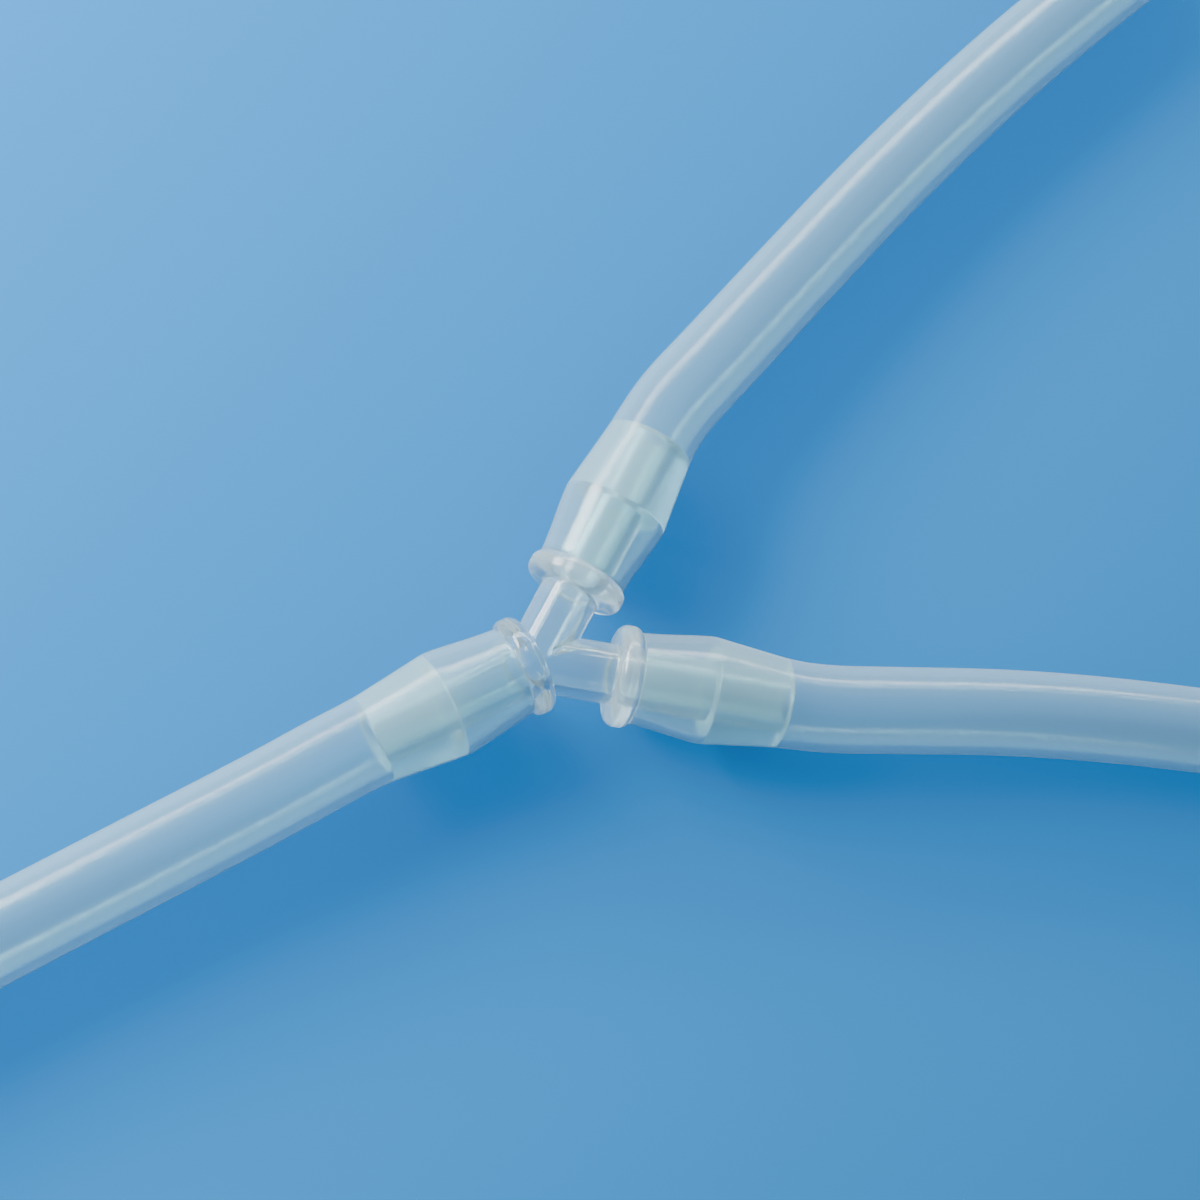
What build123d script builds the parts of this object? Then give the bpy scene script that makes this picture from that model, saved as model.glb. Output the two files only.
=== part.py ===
from build123d import *

import os
from math import atan2, cos, degrees, pi, radians, sin, sqrt, tan

# Tubing Y connector with its three lengths of soft tube, in millimetres.
# One moulding carries three hollow legs. Each leg has a round stop flange and one long barb,
# and a soft tube is pushed over the barb until its end meets the flange.
# The part lies flat. +X runs from the stem towards the two branches, +Z points up, and the origin
# is on the surface it lies on, under the middle of the connector.

# ---------------------------------------------------------------- connector
leg_bore_d = 4.4              # clear way through each leg
leg_wall = 1.2                # wall of the bare leg
branch_angle = 70.0           # between the two branches
branch_neck = 8.9             # junction to the branch flange's near face; the stem's is at the junction
flange_thickness = 2.7
flange_height = 2.35          # above the bare leg
flange_edge_radius = 1.1      # rounded rim
flange_root_radius = 0.3      # where the flange meets the leg
barb_setback = 8.5            # bare neck between the flange and the barb's step
barb_height = 1.95            # step above the neck
barb_length = 9.0             # cone from the step to the tip
barb_tip_height = 0.7         # the tip's edge above the neck's radius
barb_step_radius = 0.15
barb_tip_radius = 0.3
bore_mouth_chamfer = 0.3      # lead-in at the end of each bore

# ---------------------------------------------------------------- tubes
tube_bore_d = 8.0
tube_wall = 1.0
flare_length = 4.8            # free stretch in which the tube opens up before the step
settle_length = 2.3           # stretch past the tip in which it closes to its own bore
held_run = 6.0                # the leg still steers the tube for this far past the sleeve
cut_edge_break = 0.1          # the knife leaves the rims of a cut end a little blunt
bend_share = 0.45             # each bend takes this share of the shorter of its two runs

# ---------------------------------------------------------------- derived sizes
leg_bore_r = leg_bore_d / 2
leg_r = leg_bore_r + leg_wall
flange_r = leg_r + flange_height
step_r = leg_r + barb_height
tip_r = leg_r + barb_tip_height
tube_bore_r = tube_bore_d / 2
tube_r = tube_bore_r + tube_wall
half_angle = branch_angle / 2


def stretched_r(bore_r):
    """Outer radius of the soft wall where its bore is opened to bore_r: its section area stays."""
    return sqrt(bore_r**2 + tube_r**2 - tube_bore_r**2)


leg_axis_z = stretched_r(step_r)      # the part lies on the three bulges over the steps

# Each soft tube's route by its corners, from where the leg stops steering it. It sinks from the
# leg's level to the surface over the first two corners, and then lies on the surface.
tube_z = tube_r
stem_route = [
    (-43.4, -0.6, tube_z + 0.5),
    (-61.4, -1.1, tube_z),
    (-79.4, -1.7, tube_z),
    (-94.0, -2.0, tube_z),
    (-105.6, -1.9, tube_z),
]
left_route = [
    (33.0, 24.3, tube_z + 0.7),
    (44.0, 28.9, tube_z + 0.2),
    (61.0, 34.6, tube_z),
    (80.2, 40.1, tube_z),
    (99.7, 44.5, tube_z),
    (117.73, 47.97, tube_z),
]
right_route = [
    (38.2, -27.2, tube_z + 0.5),
    (54.2, -35.5, tube_z),
    (71.4, -45.8, tube_z),
    (88.1, -56.7, tube_z),
    (99.7, -64.7, tube_z),
    (107.9, -70.6, tube_z),
]


# ---------------------------------------------------------------- connector
def leg_stations(neck):
    """Distances along a leg from the junction: flange near, flange far, barb step, barb tip."""
    far = neck + flange_thickness
    step = far + barb_setback
    return neck, far, step, step + barb_length


def corner_at(sketch, along, radius):
    """The sketch's corners that lie at this distance along the leg and this radius."""
    return [v for v in sketch.vertices() if abs(v.X - along) < 1e-6 and abs(v.Y - radius) < 1e-6]


def outer_leg(neck):
    """One leg without its bore, along +X from the junction."""
    near, far, step, tip = leg_stations(neck)
    outline = [(0, 0)]
    if neck > 0:
        outline += [(0, leg_r), (near, leg_r)]
    outline += [
        (near, flange_r),
        (far, flange_r),
        (far, leg_r),
        (step, leg_r),
        (step, step_r),
        (tip, tip_r),
        (tip, 0),
    ]
    section = make_face(Polyline(*outline, close=True))
    rims = corner_at(section, near, flange_r) + corner_at(section, far, flange_r)
    section = fillet(rims, flange_edge_radius)
    roots = corner_at(section, far, leg_r)
    if neck > 0:
        roots += corner_at(section, near, leg_r)
    section = fillet(roots, flange_root_radius)
    section = fillet(corner_at(section, step, step_r), barb_step_radius)
    section = fillet(corner_at(section, tip, tip_r), barb_tip_radius)
    return revolve(section, Axis.X, 360)


def bore_of_leg(neck):
    """The clear way through one leg, with the lead-in at its mouth."""
    tip = leg_stations(neck)[3]
    outline = [
        (0, 0),
        (0, leg_bore_r),
        (tip - bore_mouth_chamfer, leg_bore_r),
        (tip, leg_bore_r + bore_mouth_chamfer),
        (tip + bore_mouth_chamfer, leg_bore_r + bore_mouth_chamfer),
        (tip + bore_mouth_chamfer, 0),
    ]
    return revolve(make_face(Polyline(*outline, close=True)), Axis.X, 360)


# heading in degrees and bare neck of each leg
legs = {
    "stem": (180.0, 0.0),
    "left": (half_angle, branch_neck),
    "right": (-half_angle, branch_neck),
}

outer = [Rot(0, 0, heading) * outer_leg(neck) for heading, neck in legs.values()]
bores = [Rot(0, 0, heading) * bore_of_leg(neck) for heading, neck in legs.values()]
bores.append(Sphere(leg_bore_r))

moulding = outer[0] + outer[1] + outer[2]
for bore in bores:
    moulding -= bore

# The origin is under the middle of the connector, so the junction lies a little behind it.
junction_x = -moulding.bounding_box().center().X
junction = Vector(junction_x, 0, leg_axis_z)
y_connector = Pos(junction) * moulding


# ---------------------------------------------------------------- tubes
def sleeve(neck):
    """The end of a tube that is pushed over a leg, along +X from the junction, and its end station."""
    near, far, step, tip = leg_stations(neck)
    grip_r = max(tube_bore_r, leg_r)              # on the bare neck
    last_r = max(tip_r, tube_bore_r)              # where the cone lets the tube go
    last = tip - barb_length * (last_r - tip_r) / (step_r - tip_r)
    flare = step - flare_length
    end = tip + settle_length
    level = (1, 0)
    inner = Line((far, grip_r), (flare, grip_r))
    inner += Spline((flare, grip_r), (step, step_r), tangents=(level, level))
    inner += Line((step, step_r), (last, last_r))
    inner += Spline(
        (last, last_r), (end, tube_bore_r), tangents=((last - step, last_r - step_r), level)
    )
    outer_neck_r = stretched_r(grip_r)
    crest_r = stretched_r(step_r)
    outer_last_r = stretched_r(last_r)
    down_cone = (last - step, outer_last_r - crest_r)
    outer_line = Line((far, outer_neck_r), (flare, outer_neck_r))
    outer_line += Spline((flare, outer_neck_r), (step, crest_r), tangents=(level, level))
    outer_line += Spline((step, crest_r), (last, outer_last_r), tangents=(level, down_cone))
    outer_line += Spline((last, outer_last_r), (end, tube_r), tangents=(down_cone, level))
    closed = inner + Line((end, tube_bore_r), (end, tube_r)) + outer_line
    closed += Line((far, outer_neck_r), (far, grip_r))
    return revolve(make_face(closed.edges()), Axis.X, 360), end


def bend_radii(points):
    """The largest arc that each corner's two runs allow."""
    radii = []
    for before, corner, after in zip(points, points[1:], points[2:]):
        run_in = corner - before
        run_out = after - corner
        half_turn = radians(run_in.get_angle(run_out)) / 2
        radii.append(bend_share * min(run_in.length, run_out.length) / tan(half_turn))
    return radii


def tube(name, route):
    """A length of tube: its sleeve on the leg, then its free stretch along the route."""
    heading, neck = legs[name]
    along = Vector(cos(radians(heading)), sin(radians(heading)), 0)
    grip, end = sleeve(neck)
    start = junction + along * end
    points = [start, start + along * held_run] + [Vector(*p) for p in route]
    radii = bend_radii(points)
    path = FilletPolyline(*points, radius=radii)
    ring = Plane(origin=start, z_dir=along) * (Circle(tube_r) - Circle(tube_bore_r))
    free = sweep(ring, path=path)
    swept_volume = free.volume
    cut_end = free.faces().filter_by(GeomType.PLANE).sort_by_distance(points[-1])[0]
    free = chamfer(cut_end.edges(), cut_edge_break)
    on_leg = Pos(junction) * Rot(0, 0, heading) * grip

    wall_area = pi * (tube_r**2 - tube_bore_r**2)
    far_face = neck + flange_thickness
    last_run = points[-1] - points[-2]
    straight_end = last_run.length * (1 - bend_share) - cut_edge_break
    print(f"tube on the {name} leg: corner radii", [round(r, 1) for r in radii])
    print(f"  runs {[round((b - a).length, 1) for a, b in zip(points, points[1:])]}")
    print(f"  swept volume / (section x length) = {swept_volume / (wall_area * path.length):.5f}")
    print(f"  length {path.length + end - far_face:.2f}, straight bore at its end {straight_end:.3f}")
    print(f"  end at {tuple(round(c, 4) for c in points[-1])}")
    print(f"  heading there {degrees(atan2(last_run.Y, last_run.X)):.3f}")
    return on_leg + free


parts = {
    "y_connector": y_connector,
    "stem_tube": tube("stem", stem_route),
    "left_branch_tube": tube("left", left_route),
    "right_branch_tube": tube("right", right_route),
}

os.makedirs("parts", exist_ok=True)
for node, shape in parts.items():
    export_step(shape, f"parts/{node}.step")
    print(node, f"{shape.volume:.1f} mm3")
print(f"junction at x {junction_x:.3f}, leg axes at z {leg_axis_z:.3f}")
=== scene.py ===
# %% [markdown]
# # A tubing Y connector with its three soft tubes
#
# This lesson dresses a finished engineering model. The connector is one hollow plastic moulding
# with three barbed legs, and a clear silicone tube is pushed over each leg. The engineering model
# is the frame: it fixes every place and size, in metres. +X runs from the stem towards the two
# branches, +Z points up, and the part lies on the floor z = 0.

# %% Load the frame
from math import cos, pi, radians, sin, sqrt

import bmesh
import bpy
from mathutils import Matrix, Vector


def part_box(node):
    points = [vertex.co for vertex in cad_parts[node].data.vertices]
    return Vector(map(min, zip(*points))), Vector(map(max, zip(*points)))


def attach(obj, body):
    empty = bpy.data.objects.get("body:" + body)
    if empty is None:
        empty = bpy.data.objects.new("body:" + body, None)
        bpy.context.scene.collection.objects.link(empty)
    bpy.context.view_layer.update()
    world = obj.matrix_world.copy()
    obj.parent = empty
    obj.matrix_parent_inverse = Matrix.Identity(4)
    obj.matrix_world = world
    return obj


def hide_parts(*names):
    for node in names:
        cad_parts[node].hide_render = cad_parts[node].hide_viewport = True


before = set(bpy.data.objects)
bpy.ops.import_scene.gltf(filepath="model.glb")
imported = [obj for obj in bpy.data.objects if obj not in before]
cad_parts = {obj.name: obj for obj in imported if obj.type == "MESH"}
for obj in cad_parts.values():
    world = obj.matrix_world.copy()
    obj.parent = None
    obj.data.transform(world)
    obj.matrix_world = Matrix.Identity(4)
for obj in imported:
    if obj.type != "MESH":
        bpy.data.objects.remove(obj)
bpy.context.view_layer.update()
MM = 0.001
print("frame nodes:", sorted(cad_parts))

# %% [markdown]
# ## The camera
#
# The view looks down steeply on the connector, from above the stem, with the camera rolled so that
# the stem comes in from the lower left. A camera can be turned by typing three angles, but a place,
# a point to look at and a heading for "up" are easier to read, so the turn is built from those.

# %% Camera
camera_place = Vector((-72.5, -10.7, 286.4)) * MM
looked_at = Vector((8.77, 3.22, 0.0)) * MM
up_heading = radians(62.71)               # direction on the floor that points up in the view
lens_mm = 78.0
sensor_mm = 36.0
nearest_seen = 10 * MM


def turn_towards(place, target, up):
    """Rotation of a camera or lamp that looks from place to target with up towards its top."""
    back = (place - target).normalized()
    right = up.cross(back).normalized()
    return Matrix((right, back.cross(right), back)).transposed()


camera_data = bpy.data.cameras.new("camera")
camera_data.sensor_width = sensor_mm
camera_data.lens = lens_mm
camera_data.clip_start = nearest_seen
camera = bpy.data.objects.new("camera", camera_data)
bpy.context.scene.collection.objects.link(camera)
up = Vector((cos(up_heading), sin(up_heading), 0))
camera.matrix_world = (
    Matrix.Translation(camera_place) @ turn_towards(camera_place, looked_at, up).to_4x4()
)
bpy.context.scene.camera = camera
print("camera is", round((camera_place - looked_at).length / MM), "mm from what it looks at")

# %% [markdown]
# ## The sizes that the pieces share
#
# These are the engineering model's own driving sizes, in millimetres. A soft tube that is stretched
# over a thicker bore keeps the area of its section, so its outer radius follows from its inner one.

# %% Shared sizes
leg_bore_d = 4.4
leg_wall = 1.2
branch_neck = 8.9                         # junction to a branch's flange; the stem has no neck
flange_thickness = 2.7
barb_setback = 8.5                        # flange to the barb's step
barb_height = 1.95                        # step above the leg
barb_length = 9.0                         # step to tip
barb_tip_height = 0.7                     # the tip's edge above the leg
tube_bore_d = 8.0
tube_wall = 1.0
settle_length = 2.3                       # stretch past the tip in which the tube closes again
half_angle = 35.0                         # degrees from the X axis to each branch

leg_r = leg_bore_d / 2 + leg_wall
step_r = leg_r + barb_height
tip_r = leg_r + barb_tip_height
tube_bore_r = tube_bore_d / 2
tube_r = tube_bore_r + tube_wall


def stretched_r(bore_r):
    """Outer radius of the soft wall where its bore is opened to bore_r, in mm."""
    return sqrt(bore_r**2 + tube_r**2 - tube_bore_r**2)


connector_low, connector_high = (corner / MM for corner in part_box("y_connector"))
leg_axis_z = (connector_low.z + connector_high.z) / 2
stem_reach = flange_thickness + barb_setback + barb_length
junction = Vector((connector_low.x + stem_reach, 0, leg_axis_z))
print("junction at", [round(c, 3) for c in junction])
print("tube over the step:", round(2 * stretched_r(step_r), 2), "mm across")

# %% [markdown]
# ## The tubes' routes
#
# It could be drawn as arcs and straight runs, but soft tube never bends like that: its curvature
# comes and goes slowly. So its centre line is a NURBS curve, which is drawn towards a few control
# points. The first three lie on the leg's axis, which keeps the curve straight as far as the barb's
# tip, and then it sinks by about a millimetre until the tube lies on the floor. order_u and
# use_endpoint_u are set after the points, because a new spline has too few points for them to take.

# %% Routes
tube_z = tube_r
held_middle = 13.4                        # tube's end to the middle control point on the leg
held_end = 21.7                           # and to the last one on the leg's axis
line_resolution = 48                      # points that Blender works out per control point
routes = {
    "stem": [
        (-36.0, -0.5, tube_z + 0.7),
        (-52.0, -0.85, tube_z + 0.2),
        (-67.0, -1.2, tube_z),
        (-82.0, -1.7, tube_z),
        (-94.0, -2.0, tube_z),
        (-105.6, -1.9, tube_z),
    ],
    "left_branch": [
        (32.2, 22.0, tube_z + 0.7),
        (46.0, 27.3, tube_z + 0.2),
        (62.6, 33.5, tube_z),
        (81.0, 39.4, tube_z),
        (99.7, 44.2, tube_z),
        (117.73, 47.97, tube_z),
    ],
    "right_branch": [
        (31.9, -22.8, tube_z + 0.7),
        (46.7, -30.1, tube_z + 0.2),
        (62.0, -39.1, tube_z),
        (76.0, -48.4, tube_z),
        (88.1, -56.7, tube_z),
        (99.7, -64.6, tube_z),
        (107.9, -70.6, tube_z),
    ],
}
headings = {"stem": 180.0, "left_branch": half_angle, "right_branch": -half_angle}
necks = {"stem": 0.0, "left_branch": branch_neck, "right_branch": branch_neck}


def leg_direction(name):
    """Unit vector from the junction along a leg."""
    angle = radians(headings[name])
    return Vector((cos(angle), sin(angle), 0))


def flange_far_face(name):
    """Distance from the junction to the face that the tube's end meets."""
    return necks[name] + flange_thickness


def centre_line(name):
    """The tube's centre line as a bevel-less NURBS curve object."""
    along = leg_direction(name)
    exit_point = junction + along * flange_far_face(name)
    points = [exit_point, exit_point + along * held_middle, exit_point + along * held_end]
    points += [Vector(p) for p in routes[name]]
    data = bpy.data.curves.new(f"{name}_line", "CURVE")
    data.dimensions = "3D"
    data.resolution_u = line_resolution
    spline = data.splines.new("NURBS")
    spline.points.add(len(points) - 1)
    for control, point in zip(spline.points, points):
        control.co = (*(point * MM), 1)
    spline.order_u = 3
    spline.use_endpoint_u = True
    line = bpy.data.objects.new(f"{name}_line", data)
    bpy.context.scene.collection.objects.link(line)
    return line


def line_points(line):
    """Points along the smooth curve, in order, as Blender evaluates it."""
    mesh = bpy.data.meshes.new_from_object(line)
    points = [v.co.copy() for v in mesh.vertices]
    bpy.data.meshes.remove(mesh)
    return points


def length_of(points):
    """Length of the line through the points."""
    return sum((b - a).length for a, b in zip(points, points[1:]))


lines = {name: centre_line(name) for name in routes}
for name, line in lines.items():
    print(name, "centre line", round(length_of(line_points(line)) / MM, 2), "mm")

# %% [markdown]
# ## The tubes
#
# A tube could be a curve with a bevel, but a bevel has no wall, and here the wall shows: light runs
# along it, and its end opens up over the barb. So the wall is worked out as its real section. The
# soft bore takes the shape of what is inside it: it opens from the flange to the barb's step, lies
# on the cone down to the tip, and closes to its own size just past it.

# %% The width of the bore
barb_tip_at = barb_setback + barb_length
sleeve_length = barb_tip_at + settle_length
end_bore_r = 4.2                          # the end stays a little stretched after it was pushed on
squeeze = 0.03                            # the stretched wall is pressed this far into the barb


def ease(t):
    """Goes from 0 to 1 as t does, with level ends."""
    t = min(max(t, 0.0), 1.0)
    return t * t * (3 - 2 * t)


def bore_r_at(s):
    """Radius of the tube's bore, s mm along the tube from its end at the flange."""
    if s < barb_setback:
        share = s / barb_setback
        return end_bore_r + (step_r - end_bore_r) * (share + ease(share)) / 2
    if s < barb_tip_at:
        share = (s - barb_setback) / barb_length
        return step_r + (tip_r - step_r) * share - squeeze
    return tip_r + (tube_bore_r - tip_r) * ease((s - barb_tip_at) / settle_length)


for s in (0, barb_setback, barb_tip_at, sleeve_length):
    print(f"bore {2 * bore_r_at(s):.2f} mm across, {s:.1f} mm from the tube's end")

# %% [markdown]
# ### The wall
#
# The section is a closed loop beside the X axis: out along the outside, round the far rim, back
# along the bore, and round the near rim. bmesh spins it round the axis, which makes a wall with two
# skins, as clear material needs. A Screw modifier would do the same, but the spin gives the points
# at once, and each point can note its place on the straight tube. Rings lie close together where
# the tube changes its width.

# %% The straight tubes
station_gap = 0.5                         # mm between rings on the sleeve
free_station_gap = 1.0                    # and on the free tube
close_rings_end = sleeve_length + 5       # where the wider gap begins
least_gap = 0.2                           # mm between the last ring and the rim
tube_steps = 96                           # round the tube
cut_edge_break = 0.1                      # blunt rims of the cut ends
weld_distance = 1e-5                      # mm, for points that the spin made twice


def stations(length):
    """Distances of the rings along the tube."""
    places, s = [cut_edge_break], station_gap
    while s < length - cut_edge_break - least_gap:
        places.append(s)
        s += station_gap if s < close_rings_end else free_station_gap
    places.append(length - cut_edge_break)
    return places


def straight_tube(length):
    """The wall along +X, in mm, as a bmesh."""
    bm = bmesh.new()
    straight = bm.verts.layers.float_vector.new("straight")
    rings = stations(length)
    outer = [(s, stretched_r(bore_r_at(s))) for s in rings]
    inner = [(s, bore_r_at(s)) for s in reversed(rings)]
    rims = [(length, outer[-1][1] - cut_edge_break), (length, inner[0][1] + cut_edge_break)]
    heel = [(0, inner[-1][1] + cut_edge_break), (0, outer[0][1] - cut_edge_break)]
    loop = [bm.verts.new((s, 0, r)) for s, r in outer + rims + inner + heel]
    edges = [bm.edges.new(pair) for pair in zip(loop, loop[1:] + loop[:1])]
    bmesh.ops.spin(
        bm, geom=loop + edges, cent=(0, 0, 0), axis=(1, 0, 0),
        angle=2 * pi, steps=tube_steps, use_merge=True,
    )
    bmesh.ops.remove_doubles(bm, verts=bm.verts, dist=weld_distance)
    bmesh.ops.recalc_face_normals(bm, faces=bm.faces)
    for vert in bm.verts:
        vert[straight] = vert.co
    return bm


line_lengths = {name: length_of(line_points(line)) / MM for name, line in lines.items()}
print("rings on each tube:", {n: len(stations(mm)) for n, mm in line_lengths.items()})

# %% [markdown]
# ### Bending the tubes
#
# A Curve modifier carries a straight mesh along a curve: the mesh's X becomes distance along the
# line. The bent mesh is then kept and the modifier dropped, so the finished tube is plain geometry
# with its origin at the world's origin. Each point could be moved by the script's own sums instead,
# but the modifier also keeps the rings square to the line.

# %% Bend the tubes


def bend_along(piece, line):
    """Bends the piece's mesh along the line, and keeps the bent mesh."""
    bend = piece.modifiers.new("bend", "CURVE")
    bend.object = line
    bend.deform_axis = "POS_X"
    depsgraph = bpy.context.evaluated_depsgraph_get()
    bent = bpy.data.meshes.new_from_object(piece.evaluated_get(depsgraph))
    piece.modifiers.clear()
    old = piece.data
    piece.data = bent
    bpy.data.meshes.remove(old)


def make_tube(name):
    """The finished tube on the named leg, as an object."""
    length = line_lengths[name]
    bm = straight_tube(length)
    bmesh.ops.scale(bm, verts=bm.verts, vec=(MM, MM, MM))
    for face in bm.faces:
        face.smooth = True
    mesh = bpy.data.meshes.new(f"{name}_soft_tube")
    bm.to_mesh(mesh)
    bm.free()
    piece = bpy.data.objects.new(f"{name}_soft_tube", mesh)
    bpy.context.scene.collection.objects.link(piece)
    bend_along(piece, lines[name])
    print(piece.name, round(length, 2), "mm,", len(piece.data.polygons), "faces")
    return piece


tubes = {name: make_tube(name) for name in routes}

# %% [markdown]
# ## The tubes on the part
#
# Each tube stands in for the plainer tube of the engineering model, which is hidden, and it rides
# on the whole part.

for name, piece in tubes.items():
    line_points(lines[name])
    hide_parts(f"{name}_tube")
    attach(piece, "root")
for line in lines.values():
    bpy.data.objects.remove(line)

# %% [markdown]
# ## Cloudy clear plastics
#
# Both plastics are clear with a milky veil: light passes through, and a little of it is scattered
# back white. A volume shader could scatter it inside the wall, which is slow and noisy for so
# slight a haze. Here the Principled shader's transmission stays a little under 1, and what is left
# over is its white diffuse part, which gives the veil. A soft rubber surface also catches light
# where it is seen edge on, and a little sheen gives that pale rim.

# %% Tools for the two plastics
noise_spread = (0.3, 0.7)                 # a noise texture seldom leaves these values
even_blend = 0.5                          # Layer Weight's own middle setting


def new_material(name):
    """A material with nodes, and its nodes, links and Principled shader."""
    material = bpy.data.materials.new(name)
    material.use_nodes = True
    nodes = material.node_tree.nodes
    return material, nodes, material.node_tree.links, nodes["Principled BSDF"]


def grain(material, source, scale, detail=3.0):
    """A noise texture that reads source, stretched by a scale for each axis."""
    nodes, links = material.node_tree.nodes, material.node_tree.links
    stretch = nodes.new("ShaderNodeMapping")
    stretch.inputs["Scale"].default_value = scale
    noise = nodes.new("ShaderNodeTexNoise")
    noise.inputs["Scale"].default_value = 1.0
    noise.inputs["Detail"].default_value = detail
    links.new(source, stretch.inputs["Vector"])
    links.new(stretch.outputs["Vector"], noise.inputs["Vector"])
    return noise.outputs["Fac"]


def ranged(material, value, socket, low, high, spread=noise_spread):
    """Drives a socket from low to high while the value goes through its spread."""
    nodes, links = material.node_tree.nodes, material.node_tree.links
    remap = nodes.new("ShaderNodeMapRange")
    remap.inputs["From Min"].default_value = spread[0]
    remap.inputs["From Max"].default_value = spread[1]
    remap.inputs["To Min"].default_value = low
    remap.inputs["To Max"].default_value = high
    links.new(value, remap.inputs["Value"])
    links.new(remap.outputs["Result"], socket)


def cloudier_edge_on(material, clouds, socket, clear, cloudy, edge_loss):
    """Transmission from the clouds' value, and less where the wall is seen edge on."""
    nodes, links = material.node_tree.nodes, material.node_tree.links
    facing = nodes.new("ShaderNodeLayerWeight")
    facing.inputs["Blend"].default_value = even_blend
    loss = nodes.new("ShaderNodeMath")
    loss.operation = "MULTIPLY"
    loss.inputs[1].default_value = edge_loss
    left_over = nodes.new("ShaderNodeMath")
    left_over.operation = "SUBTRACT"
    ranged(material, clouds, left_over.inputs[0], cloudy, clear)
    links.new(facing.outputs["Facing"], loss.inputs[0])
    links.new(loss.outputs["Value"], left_over.inputs[1])
    links.new(left_over.outputs["Value"], socket)


def bumped(material, height, strength, distance):
    """Makes the surface uneven by a noise value, by up to a distance in metres."""
    nodes, links = material.node_tree.nodes, material.node_tree.links
    bump = nodes.new("ShaderNodeBump")
    bump.inputs["Strength"].default_value = strength
    bump.inputs["Distance"].default_value = distance
    links.new(height, bump.inputs["Height"])
    links.new(bump.outputs["Normal"], nodes["Principled BSDF"].inputs["Normal"])


def let_light_through(material, tint):
    """Shadow and diffuse rays pass straight through, tinted, so clear pieces cast light shadows."""
    nodes, links = material.node_tree.nodes, material.node_tree.links
    path = nodes.new("ShaderNodeLightPath")
    either = nodes.new("ShaderNodeMath")
    either.operation = "MAXIMUM"
    clear = nodes.new("ShaderNodeBsdfTransparent")
    clear.inputs["Color"].default_value = (*tint, 1)
    mix = nodes.new("ShaderNodeMixShader")
    links.new(path.outputs["Is Shadow Ray"], either.inputs[0])
    links.new(path.outputs["Is Diffuse Ray"], either.inputs[1])
    links.new(either.outputs["Value"], mix.inputs["Fac"])
    links.new(nodes["Principled BSDF"].outputs["BSDF"], mix.inputs[1])
    links.new(clear.outputs["BSDF"], mix.inputs[2])
    links.new(mix.outputs["Shader"], nodes["Material Output"].inputs["Surface"])


def dress(piece, material):
    """Gives the piece this one material."""
    piece.data.materials.clear()
    piece.data.materials.append(material)
    print(piece.name, "is dressed in", material.name)


# %% [markdown]
# ### Silicone
#
# A silicone tube is pushed hot through a ring-shaped die, and the die leaves faint lines that run
# along it. The bent tube has no axis to stretch a pattern along, so each point carries the place it
# had on the straight tube in the attribute "straight", and the noise reads that. It is stretched
# along the tube, so the gloss changes in long streaks. A second, finer noise stands for the dust
# that soft silicone picks up.

# %% Silicone
# noise cycles per metre, along the tube and across it
streak_scale = (12, 900, 900)
cloud_scale = (130, 260, 260)
dust_scale = (1500, 1500, 1500)
silicone_bump = (0.06, 0.05 * MM)         # strength and depth of the dust
pale_sheen = (0.86, 0.97, 1.0, 1)


def silicone():
    """Clear, slightly milky rubber with a soft gloss."""
    material, nodes, links, shader = new_material("soft_silicone_tube")
    shader.inputs["Base Color"].default_value = (0.74, 1.0, 1.0, 1)
    shader.inputs["IOR"].default_value = 1.41
    shader.inputs["Sheen Weight"].default_value = 0.5
    shader.inputs["Sheen Roughness"].default_value = 0.35
    shader.inputs["Sheen Tint"].default_value = pale_sheen
    place = nodes.new("ShaderNodeAttribute")
    place.attribute_name = "straight"
    streaks = grain(material, place.outputs["Vector"], streak_scale)
    ranged(material, streaks, shader.inputs["Roughness"], low=0.07, high=0.15)
    clouds = grain(material, place.outputs["Vector"], cloud_scale)
    cloudier_edge_on(
        material, clouds, shader.inputs["Transmission Weight"],
        clear=0.955, cloudy=0.925, edge_loss=0.17,
    )
    dust = grain(material, place.outputs["Vector"], dust_scale, detail=2.0)
    bumped(material, dust, *silicone_bump)
    let_light_through(material, tint=(0.77, 0.83, 0.87))
    return material


tube_material = silicone()
for piece in tubes.values():
    dress(piece, tube_material)

# %% [markdown]
# ### Moulded polypropylene
#
# The connector is injection moulded. Polypropylene goes cloudy as it cools, more where it cools
# slowly. The bare legs near the junction are thin and stay nearly clear, and the thick barbs are
# milky, so the cloudiness is driven by the distance from the junction, with a little noise added.
# The engineering model's own solid already has the true shape, so it stays and only takes this
# material. The noise reads Object coordinates, because a solid from CAD has no map of its own.

# %% Polypropylene
clear_to_cloudy = (0.007, 0.012)          # m from the junction, from clear leg to cloudy barb
mould_cloud_scale = (260, 260, 260)       # noise cycles per metre
mould_skin_scale = (700, 700, 700)
cloud_noise_share = 0.35
mould_bump = (0.08, 0.06 * MM)            # strength and depth of the moulding's skin


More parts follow.
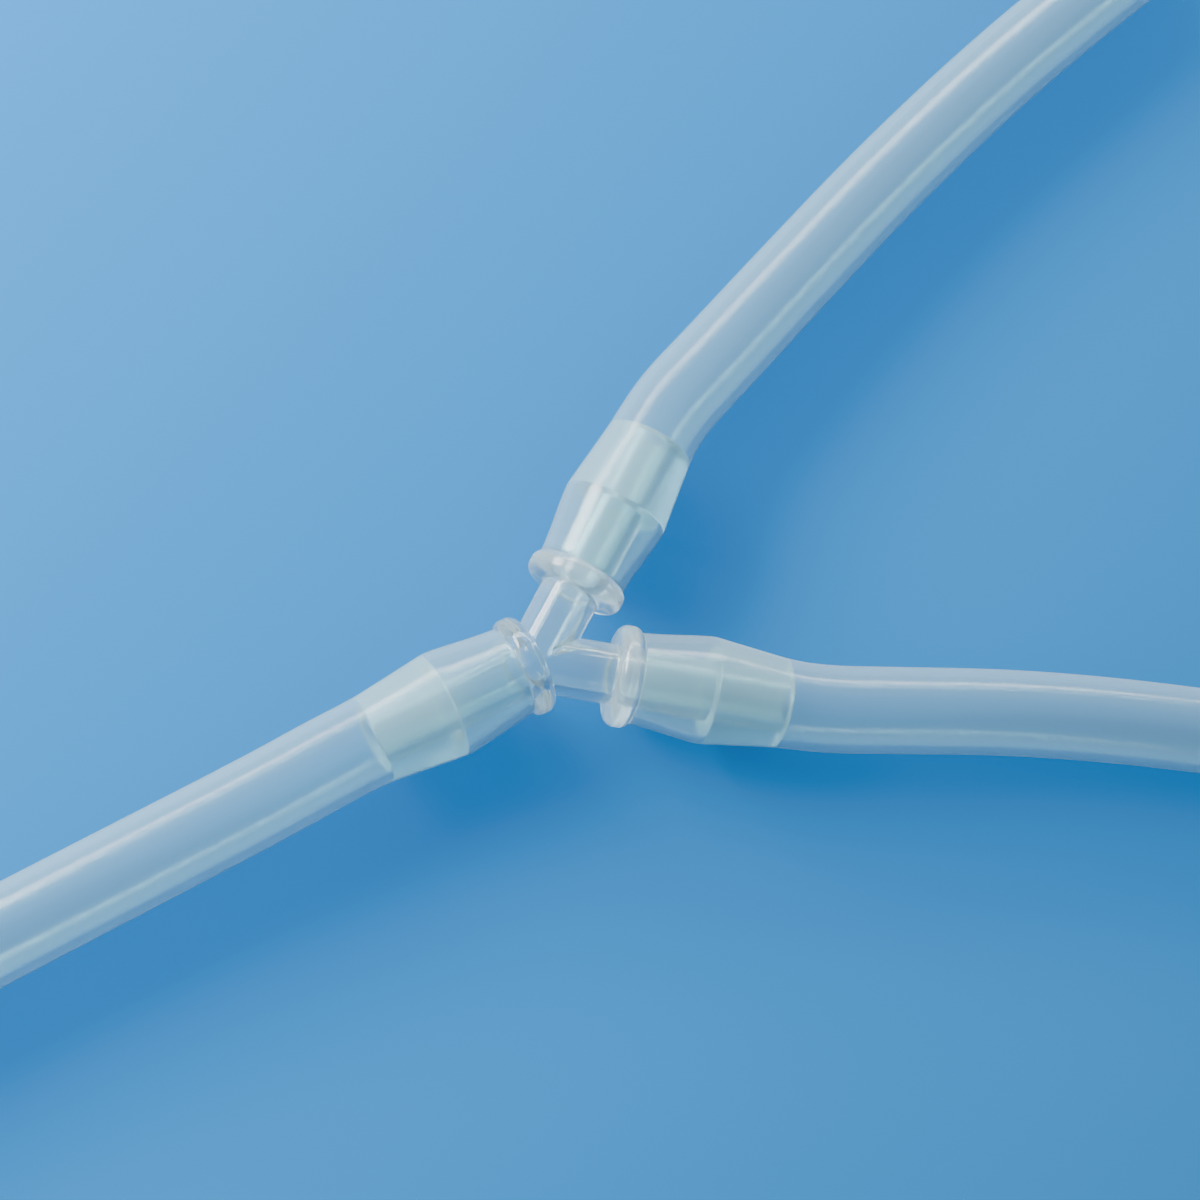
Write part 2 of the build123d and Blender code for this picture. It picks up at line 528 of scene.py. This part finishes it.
def polypropylene():
    """Moulded plastic, clear on the bare legs and milky on the barbs."""
    material, nodes, links, shader = new_material("cloudy_polypropylene_moulding")
    shader.inputs["Base Color"].default_value = (0.82, 1.0, 0.99, 1)
    shader.inputs["IOR"].default_value = 1.49
    shader.inputs["Sheen Weight"].default_value = 0.25
    shader.inputs["Sheen Roughness"].default_value = 0.4
    shader.inputs["Sheen Tint"].default_value = pale_sheen
    place = nodes.new("ShaderNodeTexCoord")
    away = nodes.new("ShaderNodeVectorMath")
    away.operation = "DISTANCE"
    away.inputs[1].default_value = junction * MM
    links.new(place.outputs["Object"], away.inputs[0])
    distance = away.outputs["Value"]
    clouds = grain(material, place.outputs["Object"], mould_cloud_scale, detail=4.0)
    clarity = nodes.new("ShaderNodeMath")
    clarity.operation = "MULTIPLY_ADD"
    links.new(clouds, clarity.inputs[0])
    clarity.inputs[1].default_value = cloud_noise_share
    ranged(material, distance, clarity.inputs[2], low=0.55, high=0.15, spread=clear_to_cloudy)
    cloudier_edge_on(
        material, clarity.outputs["Value"], shader.inputs["Transmission Weight"],
        clear=0.955, cloudy=0.84, edge_loss=0.12,
    )
    ranged(
        material, distance, shader.inputs["Roughness"],
        low=0.07, high=0.22, spread=clear_to_cloudy,
    )
    skin = grain(material, place.outputs["Object"], mould_skin_scale)
    bumped(material, skin, *mould_bump)
    let_light_through(material, tint=(0.88, 0.92, 0.94))
    return material


dress(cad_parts["y_connector"], polypropylene())

# %% [markdown]
# ## Floor
#
# The part lies on a plain sheet of blue paper. A thin box would do as well, but one square face is
# the least that works.

# %% Floor
floor_half = 1.5                          # m from the middle to each edge
floor_blue = (0.025, 0.29, 0.74, 1)

bm = bmesh.new()
bmesh.ops.create_grid(bm, x_segments=1, y_segments=1, size=floor_half)
floor_mesh = bpy.data.meshes.new("floor")
bm.to_mesh(floor_mesh)
bm.free()
floor = bpy.data.objects.new("floor", floor_mesh)
bpy.context.scene.collection.objects.link(floor)
paper, _, _, paper_shader = new_material("floor_paper")
paper_shader.inputs["Base Color"].default_value = floor_blue
paper_shader.inputs["Specular IOR Level"].default_value = 0.15
paper_shader.inputs["Roughness"].default_value = 0.9
dress(floor, paper)

# %% [markdown]
# ## Light
#
# Clear pieces show mostly what they reflect and what is behind them, so the lamps are placed for
# their reflections. A round tube acts like a mirror that is curved one way only: a small lamp makes
# a bright line on it at one heading alone. So one long low strip stands far enough round to light a
# line on all three tubes, which run three ways, and a second lamp draws the soft shadows. One large
# lamp overhead would be simpler, but it leaves clear plastic grey and flat.

# %% Light
sky_colour = (0.85, 0.92, 1.0, 1)
sky_strength = 0.24
world_up = Vector((0, 0, 1))


def add_softbox(name, heading, rise, distance, width, height, watts):
    """A soft lamp that looks at the origin from a heading and a rise, both in degrees."""
    data = bpy.data.lights.new(name, "AREA")
    data.shape = "ELLIPSE"
    data.size = width
    data.size_y = height
    data.energy = watts
    lamp = bpy.data.objects.new(name, data)
    bpy.context.scene.collection.objects.link(lamp)
    heading, rise = radians(heading), radians(rise)
    direction = Vector((cos(rise) * cos(heading), cos(rise) * sin(heading), sin(rise)))
    place = direction * distance
    turn = turn_towards(place, Vector((0, 0, 0)), world_up)
    lamp.matrix_world = Matrix.Translation(place) @ turn.to_4x4()
    print(name, "stands at", [round(c, 3) for c in place], "m")


add_softbox(
    "window_softbox", heading=122, rise=26, distance=0.45, width=0.32, height=0.20, watts=4.2
)
add_softbox(
    "long_softbox", heading=72, rise=21, distance=0.55, width=1.1, height=0.12, watts=4.4
)

world = bpy.data.worlds.new("studio")
world.use_nodes = True
sky = world.node_tree.nodes["Background"]
sky.inputs["Color"].default_value = sky_colour
sky.inputs["Strength"].default_value = sky_strength
bpy.context.scene.world = world
